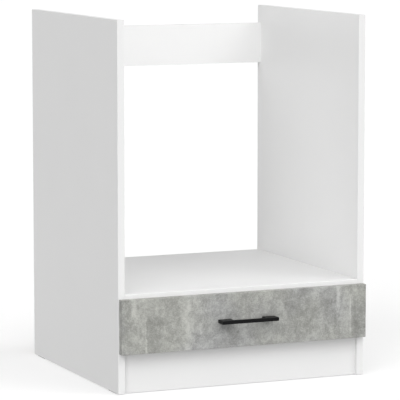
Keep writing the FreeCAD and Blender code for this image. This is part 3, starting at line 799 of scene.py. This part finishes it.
HEAD_RINGS = 14  # of the ball that a domed head is drawn from
DOME_POWER = 0.6  # below 1, the flanks of a head stand steeper than a ball's
SHANK_LAP = 0.00005  # how far a shank goes up into its head
LEAST_RECESS = 1e-5
WEB_LAP = 0.0006  # how far a roller's web goes into its hub and tread
ROUNDING_STEPS = 3


def headed_fasteners():
    """Round-headed fasteners: a domed head, with a cross recess unless its length is 0, on a shank."""
    tree = FittingTree("headed_fasteners", [
        "Head diameter", "Head height", "Recess length", "Recess width", "Recess depth",
        "Shank diameter", "Shank length", "Sides", "Seed",
    ])
    ball = tree.node("GeometryNodeMeshUVSphere", None, {
        "Segments": tree.size("Sides"), "Rings": HEAD_RINGS, "Radius": 1.0,
    }, "Mesh")
    x = tree.corners()
    radius, height = tree.size("Head diameter") * 0.5, tree.size("Head height")
    dome = x.out("Z").most(0.0) ** DOME_POWER
    head = tree.node("GeometryNodeSetPosition", None, {
        "Geometry": ball, "Position": tree.vector(x * radius, x.out("Y") * radius, dome * height),
    })
    has_cross = tree.node("FunctionNodeCompare", {"data_type": "FLOAT", "operation": "GREATER_THAN"}, {
        "A": tree.size("Recess length"), "B": LEAST_RECESS,
    }, "Result")
    top = tree.node("GeometryNodeSwitch", {"input_type": "GEOMETRY"}, {
        "Switch": has_cross, "False": head, "True": tree.cut(head, *tree.cross(tree.vector(z=height))),
    }, "Output")
    shank = tree.drum(tree.size("Shank diameter") * 0.5, tree.size("Shank length"), SHANK_LAP)
    return tree.close(tree.fused(top, shank), turned=True)


def cam_locks():
    """Cam locks: a drum with a chamfered rim, a cross recess and a pointer cut near the rim."""
    tree = FittingTree("cam_locks", [
        "Diameter", "Depth", "Chamfer", "Recess length", "Recess width", "Recess depth", "Sides",
    ])
    radius, depth, chamfer = tree.size("Diameter") * 0.5, tree.size("Depth"), tree.size("Chamfer")
    drum = tree.node("GeometryNodeMeshCylinder", {"fill_type": "NGON"}, {
        "Vertices": tree.size("Sides"), "Side Segments": 2, "Radius": 1.0, "Depth": 2.0,
    }, "Mesh")
    x = tree.corners()
    top, foot = x.out("Z").most(0.0), (x.out("Z") * -1.0).most(0.0)
    reach = radius - chamfer * top
    solid = tree.node("GeometryNodeSetPosition", None, {"Geometry": drum, "Position": tree.vector(
        x * reach, x.out("Y") * reach, (top - 1.0) * chamfer - foot * (depth - chamfer)
    )})
    pointer = tree.block(
        tree.size("Recess width") * 0.6, radius * 0.28, tree.size("Recess depth") * 0.5,
        tree.vector(y=radius * 0.84),
    )
    return tree.close(tree.cut(solid, *tree.cross(tree.vector()), pointer))


def runner_rollers():
    """Rollers: a hub round the bore, a thin web and a tread with rounded edges."""
    tree = FittingTree("runner_rollers", [
        "Diameter", "Bore", "Width", "Tread", "Hub", "Recess", "Rounding", "Sides",
    ])
    outer, bore, width = tree.size("Diameter") * 0.5, tree.size("Bore") * 0.5, tree.size("Width")

    def ring(inner, outer, width):
        rail = tree.node("GeometryNodeCurvePrimitiveCircle", None, {
            "Resolution": tree.size("Sides"), "Radius": (inner + outer) * 0.5,
        }, "Curve")
        section = tree.node("GeometryNodeCurvePrimitiveQuadrilateral", None, {
            "Width": outer - inner, "Height": width,
        })
        soft = tree.node("GeometryNodeFilletCurve", {"mode": "POLY"}, {
            "Curve": section, "Count": ROUNDING_STEPS, "Radius": tree.size("Rounding"), "Limit Radius": True,
        })
        return tree.node("GeometryNodeCurveToMesh", None, {"Curve": rail, "Profile Curve": soft})

    hub, tread = bore + tree.size("Hub"), outer - tree.size("Tread")
    web = ring(hub - WEB_LAP, tread + WEB_LAP, width - tree.size("Recess") * 2.0)
    return tree.close(tree.fused(ring(bore, hub, width), web, ring(tread, outer, width)))


# Operators

class CABINET_OT_white_boards(bpy.types.Operator):
    """White laminate on the boards of the carcass, white edging on their front edges"""

    bl_idname = "cabinet.white_boards"
    bl_label = "White boards"

    def execute(self, context):
        look = context.scene.cabinet_boards
        dress(laminate("white_side_board", look, (BACK,)), *(f"{hand}_side_board" for hand in HANDS))
        dress(laminate("white_shelf_board", look, (BACK,)), "oven_shelf")
        dress(laminate("white_rail_board", look), "rear_rail")
        dress(laminate("white_plinth_board", look, (UP,)), "plinth_board")
        dress(edging("white_edging", look), "left_side_edging", "right_side_edging", "shelf_edging")
        return {"FINISHED"}


class CABINET_OT_drawer_front(bpy.types.Operator):
    """Concrete look on the drawer front and its edging"""

    bl_idname = "cabinet.drawer_front"
    bl_label = "Drawer front"

    def execute(self, context):
        finish = concrete("concrete_front", context.scene.cabinet_front)
        dress(finish, "drawer_front")
        dress(finish, *(f"drawer_front_{side}_edging" for side in ("left", "right", "bottom", "top")))
        return {"FINISHED"}


class CABINET_OT_drawer_box(bpy.types.Operator):
    """White boards and the fibreboard bottom of the drawer"""

    bl_idname = "cabinet.drawer_box"
    bl_label = "Drawer box"

    def execute(self, context):
        look = context.scene.cabinet_boards
        dress(laminate("white_drawer_side", look, (BACK, DOWN)), *(f"drawer_{hand}_side" for hand in HANDS))
        dress(laminate("white_drawer_back", look, (DOWN,)), "drawer_back")
        dress(hardboard("drawer_bottom_sheet", look), "drawer_bottom")
        return {"FINISHED"}


class CABINET_OT_handle(bpy.types.Operator):
    """The black bar handle with its two feet"""

    bl_idname = "cabinet.handle"
    bl_label = "Handle"

    def execute(self, context):
        look = context.scene.cabinet_handle
        low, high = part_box("handle")
        grip = low.y + look.bar
        half, inner = high.x, high.x - look.foot
        plan = [
            (-half, high.y), (-half, low.y), (half, low.y), (half, high.y),
            (inner, high.y), (inner, grip), (-inner, grip), (-inner, high.y),
        ]
        bm = bmesh.new()
        base = bm.faces.new([bm.verts.new((x, y, low.z)) for x, y in plan])
        raised = bmesh.ops.extrude_face_region(bm, geom=[base])["geom"]
        upper = [part for part in raised if isinstance(part, bmesh.types.BMVert)]
        bmesh.ops.translate(bm, vec=(0, 0, high.z - low.z), verts=upper)
        bmesh.ops.recalc_face_normals(bm, faces=bm.faces)
        weight = bm.edges.layers.float.new("bevel_weight_edge")
        for edge in bm.edges:
            against_front = all(vert.co.y > high.y - NEAR for vert in edge.verts)
            edge[weight] = 0.0 if against_front else 1.0
        mesh = bpy.data.meshes.new("bar_handle")
        bm.to_mesh(mesh)
        bm.free()
        mesh.materials.append(
            coated("black_coat", look.colour, look.roughness, peel=0.0007, lift=0.00003, gloss=look.gloss)
        )
        piece = new_object("bar_handle", mesh)
        bevel = piece.modifiers.new("rounding", "BEVEL")
        bevel.limit_method, bevel.width, bevel.segments = "WEIGHT", look.rounding, ROUNDING_STEPS
        bevel.harden_normals = True
        mesh.shade_smooth()
        settle(piece)
        hand_over(piece, "drawer", "black_metal", "handle")
        return {"FINISHED"}


class CABINET_OT_runners(bpy.types.Operator):
    """Powder coat on the runner profiles, and the rollers on their pins"""

    bl_idname = "cabinet.runners"
    bl_label = "Roller runners"

    def execute(self, context):
        look, fitting = context.scene.cabinet_runners, context.scene.cabinet_fittings
        profiles = (f"{hand}_{part}_runner" for hand in HANDS for part in ("cabinet", "drawer"))
        dress(coated("runner_coat", look.coat, roughness=0.34), *profiles)
        nylon = moulded("roller_nylon", look.nylon, roughness=0.4)
        tree = runner_rollers()
        for hand in HANDS:
            for end in ("front", "rear"):
                node = f"{hand}_{end}_roller"
                low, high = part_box(node)
                piece = tree.grow(
                    f"{node}_wheel", [(middle(node), (1, 0, 0))], nylon, diameter=high.z - low.z,
                    bore=look.bore, width=high.x - low.x, tread=look.tread, hub=look.hub,
                    recess=look.recess, rounding=look.rounding, sides=fitting.sides * 2,
                )
                hand_over(piece, node, "roller_plastic", node)
        return {"FINISHED"}


CROSS_WIDTH = 0.26  # of a cross recess, to its length
CROSS_DEPTH = 0.6  # of a cross recess, to the height of the head
CABINET_HOLES = (0.037, (0, 6, 13))  # first hole behind the front edge, and steps along the row
DRAWER_HOLES = (0.04, (0, 6, 12))
BACK_SCREW_INSET = 0.016  # from the upper and lower edges of the drawer back
NAIL_PITCH = 0.17
HANDLE_HOLES = 0.128  # between the handle's screws


class CABINET_OT_fasteners(bpy.types.Operator):
    """Screws, roller pins and nails"""

    bl_idname = "cabinet.fasteners"
    bl_label = "Screws and pins"

    def execute(self, context):
        look, sheet = context.scene.cabinet_fittings, context.scene.cabinet_runners.sheet
        steel = plated("plated_steel", look.steel, roughness=0.3, grit=0.0004)
        tree = headed_fasteners()

        def set_in(name, body, spots, sizes, *nodes):
            head, height, shank, length, recess = sizes
            piece = tree.grow(
                name, spots, steel, head_diameter=head, head_height=height, recess_length=recess,
                recess_width=recess * CROSS_WIDTH, recess_depth=height * CROSS_DEPTH,
                shank_diameter=shank, shank_length=length, sides=look.sides, seed=look.seed,
            )
            hand_over(piece, body, "pin_steel", *nodes)

        cabinet_webs, drawer_webs = [], []
        for hand, way in HANDS.items():
            z = middle(f"{hand}_cabinet_runner").z
            web = way * (outer_side(f"{hand}_cabinet_runner") - sheet)
            row = hole_row(f"{hand}_side_edging", *CABINET_HOLES)
            cabinet_webs += [((web, y, z), (-way, 0, 0)) for y in row]
            web = way * (outer_side(f"drawer_{hand}_side") + sheet)
            row = hole_row(f"drawer_{hand}_side", *DRAWER_HOLES)
            drawer_webs += [((web, y, z), (way, 0, 0)) for y in row]
        set_in("cabinet_runner_screws", "carcass", cabinet_webs, look.cabinet_screw)
        set_in("drawer_runner_screws", "drawer", drawer_webs, look.drawer_screw)

        low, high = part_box("drawer_back")
        levels = (low.z + BACK_SCREW_INSET, high.z - BACK_SCREW_INSET)
        outer, back = outer_side("drawer_right_side"), middle("drawer_back").y
        spots = [((way * outer, back, z), (way, 0, 0)) for way in HANDS.values() for z in levels]
        set_in("drawer_back_screws", "drawer", spots, look.back_screw)

        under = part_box("drawer_bottom")[0].z
        spots = [((step * NAIL_PITCH, back, under), DOWN) for step in (-1, 0, 1)]
        set_in("drawer_bottom_nails", "drawer", spots, look.nail)

        y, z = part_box("drawer_front")[1].y, middle("handle").z
        spots = [((way * HANDLE_HOLES / 2, y, z), BACK) for way in HANDS.values()]
        set_in("handle_screws", "drawer", spots, look.handle_screw)

        for part, body, outwards in (("cabinet", "carcass", -1), ("drawer", "drawer", 1)):
            node = f"{part}_roller_pins"
            boxes = solids(node)
            aims = [(math.copysign(1, low.x) * outwards, 0, 0) for low, high in boxes]
            spots = [head_spot(box, aim, look.pin_head) for box, aim in zip(boxes, aims)]
            low, high = boxes[0]
            sizes = (high.y - low.y, look.pin_head, look.pin_shank, high.x - low.x - look.pin_head, 0.0)
            set_in(f"{part}_pins", body, spots, sizes, node)
        return {"FINISHED"}


def cam_aim(box):
    """The way a cam lock's head faces: into the drawer, to the back or down, along its short side."""
    low, high = box
    inwards = (-math.copysign(1, low.x), 0, 0)
    return min(zip(high - low, (inwards, BACK, DOWN)))[1]


class CABINET_OT_joint_fittings(bpy.types.Operator):
    """Cam locks, cam bolts and dowels"""

    bl_idname = "cabinet.joint_fittings"
    bl_label = "Joint fittings"

    def execute(self, context):
        look = context.scene.cabinet_fittings
        zinc = plated("cast_zinc", look.zinc, roughness=0.42, grit=0.0007)
        tree = cam_locks()
        for part in ("carcass", "drawer"):
            node = f"{part}_cam_locks"
            boxes = solids(node)
            low, high = boxes[0]
            piece = tree.grow(
                f"{part}_cams", [head_spot(box, cam_aim(box)) for box in boxes], zinc,
                diameter=max(high - low), depth=min(high - low), chamfer=look.cam_chamfer,
                recess_length=look.cam_length, recess_width=look.cam_width, recess_depth=look.cam_depth,
                sides=look.sides * 2,
            )
            hand_over(piece, part, "fitting_zinc", node)
        bolts = plated("bolt_steel", look.steel, roughness=0.32, grit=0.0005)
        dress(bolts, "carcass_cam_bolts", "drawer_cam_bolts")
        dress(beech("raw_beech"), "carcass_dowels")
        return {"FINISHED"}


class CABINET_OT_feet(bpy.types.Operator):
    """Corner blocks behind the plinth and glide strips under the sides"""

    bl_idname = "cabinet.feet"
    bl_label = "Blocks and glides"

    def execute(self, context):
        scene = context.scene
        blocks = moulded("white_block", scene.cabinet_boards.white, roughness=0.5)
        dress(blocks, *(f"{hand}_plinth_block" for hand in HANDS))
        dress(moulded("dark_glide", scene.cabinet_fittings.glide, roughness=0.55), "floor_glides")
        return {"FINISHED"}


# Each soft light of the sky: the way it comes from and how tight it is.
LIGHT_FROM = {
    "top": ((0, 0, 1), 4.0),
    "left_key": ((-0.5, -0.5, 0.7), 16.0),
    "right_key": ((0.5, -0.5, 0.7), 16.0),
    "front": ((-0.6, -0.8, 0.3), 4.0),
    "low": ((0, -0.8, -0.6), 4.0),
    "back": ((0, 1, 0.35), 4.0),
}
# Each lamp: its place, what it is aimed at and its diameter.
LAMPS = {"over": ((-0.1, -0.3, 1.2), (0.1, 0.3, 0.7), 0.4)}
HORIZON_FADE = (0.05, 0.13)  # sines of the elevations where the backdrop begins and ends to fade
SENSOR_WIDTH = 36  # mm
VIEW_DEPTH = 200  # m


def studio_floor(look):
    """A wide pale floor, lit a little from within."""
    reach = look.reach
    mesh = bpy.data.meshes.new("studio_floor")
    corners = [(-reach, -reach, 0), (reach, -reach, 0), (reach, reach, 0), (-reach, reach, 0)]
    mesh.from_pydata(corners, [], [(0, 1, 2, 3)])
    mesh.materials.append(Finish("pale_floor").surface(
        Base_Color=tuple(look.floor), Roughness=0.9, Specular_IOR_Level=0.0,
        Emission_Color=(1, 1, 1), Emission_Strength=look.glow,
    ))
    floor = new_object("studio_floor", mesh)
    # The sky alone lights the cabinet from below: the floor throws no light back and blocks none.
    floor.visible_diffuse = floor.visible_shadow = False
    return floor


def soft_sky(look):
    """A world of soft lights, with a bright backdrop along the horizon."""
    world = bpy.data.worlds.new("soft_studio")
    world.use_nodes = True
    sky = Graph(world.node_tree)
    way = sky.node("ShaderNodeTexCoord", output="Generated")
    height = sky.node("ShaderNodeSeparateXYZ", None, {"Vector": way}, "Z")
    light = (1 - abs(height).smooth(*HORIZON_FADE)) * look.backdrop + look.around
    for name, (source, tight) in LIGHT_FROM.items():
        towards = sky.along(way, Vector(source).normalized())
        light = towards.most(0.0) ** tight * getattr(look, name) + light
    sky.feed(world.node_tree.nodes["Background"], {"Color": (1, 1, 1), "Strength": light})
    return world


class CABINET_OT_stage(bpy.types.Operator):
    """Pale floor, soft studio light and the camera"""

    bl_idname = "cabinet.stage"
    bl_label = "Floor, light and camera"

    def execute(self, context):
        scene, look = context.scene, context.scene.cabinet_stage
        floor = studio_floor(look)
        scene.world = soft_sky(look)
        for name, (place, aim, size) in LAMPS.items():
            lamp = bpy.data.lights.new(f"lamp_{name}", "AREA")
            lamp.shape, lamp.size, lamp.energy = "DISK", size, getattr(look, name)
            holder = new_object(lamp.name, lamp)
            holder.location = place
            holder.rotation_euler = (Vector(place) - Vector(aim)).to_track_quat("Z", "Y").to_euler()
            holder.visible_camera = False
        camera = bpy.data.cameras.new("camera")
        camera.sensor_width, camera.lens, camera.clip_end = SENSOR_WIDTH, look.lens, VIEW_DEPTH
        eye = new_object("camera", camera)
        eye.location = look.camera
        eye.rotation_euler = (math.pi / 2 - look.tilt, 0, -look.yaw)
        scene.camera = eye
        scene.view_settings.view_transform = "Standard"
        return {"FINISHED"}


OPERATORS = (
    CABINET_OT_white_boards,
    CABINET_OT_drawer_front,
    CABINET_OT_drawer_box,
    CABINET_OT_handle,
    CABINET_OT_runners,
    CABINET_OT_fasteners,
    CABINET_OT_joint_fittings,
    CABINET_OT_feet,
    CABINET_OT_stage,
)


class CABINET_PT_looks(bpy.types.Panel):
    """The cabinet's looks, piece by piece"""

    bl_label = "Oven base cabinet"
    bl_space_type = "VIEW_3D"
    bl_region_type = "UI"
    bl_category = "Cabinet"

    def draw(self, context):
        for operator in OPERATORS:
            self.layout.operator(operator.bl_idname)
        for name, look in LOOKS.items():
            box = self.layout.box()
            box.label(text=name.replace("_", " ").capitalize())
            for key in look.__annotations__:
                box.prop(getattr(context.scene, name), key)


def register():
    for look in LOOKS.values():
        bpy.utils.register_class(look)
    for name, look in LOOKS.items():
        setattr(bpy.types.Scene, name, PointerProperty(type=look))
    for operator in OPERATORS:
        bpy.utils.register_class(operator)
    bpy.utils.register_class(CABINET_PT_looks)


def unregister():
    bpy.utils.unregister_class(CABINET_PT_looks)
    for operator in reversed(OPERATORS):
        bpy.utils.unregister_class(operator)
    for name, look in LOOKS.items():
        delattr(bpy.types.Scene, name)
        bpy.utils.unregister_class(look)


def main():
    register()
    for operator in OPERATORS:
        group, name = operator.bl_idname.split(".")
        getattr(getattr(bpy.ops, group), name)()


if __name__ == "__main__":
    main()
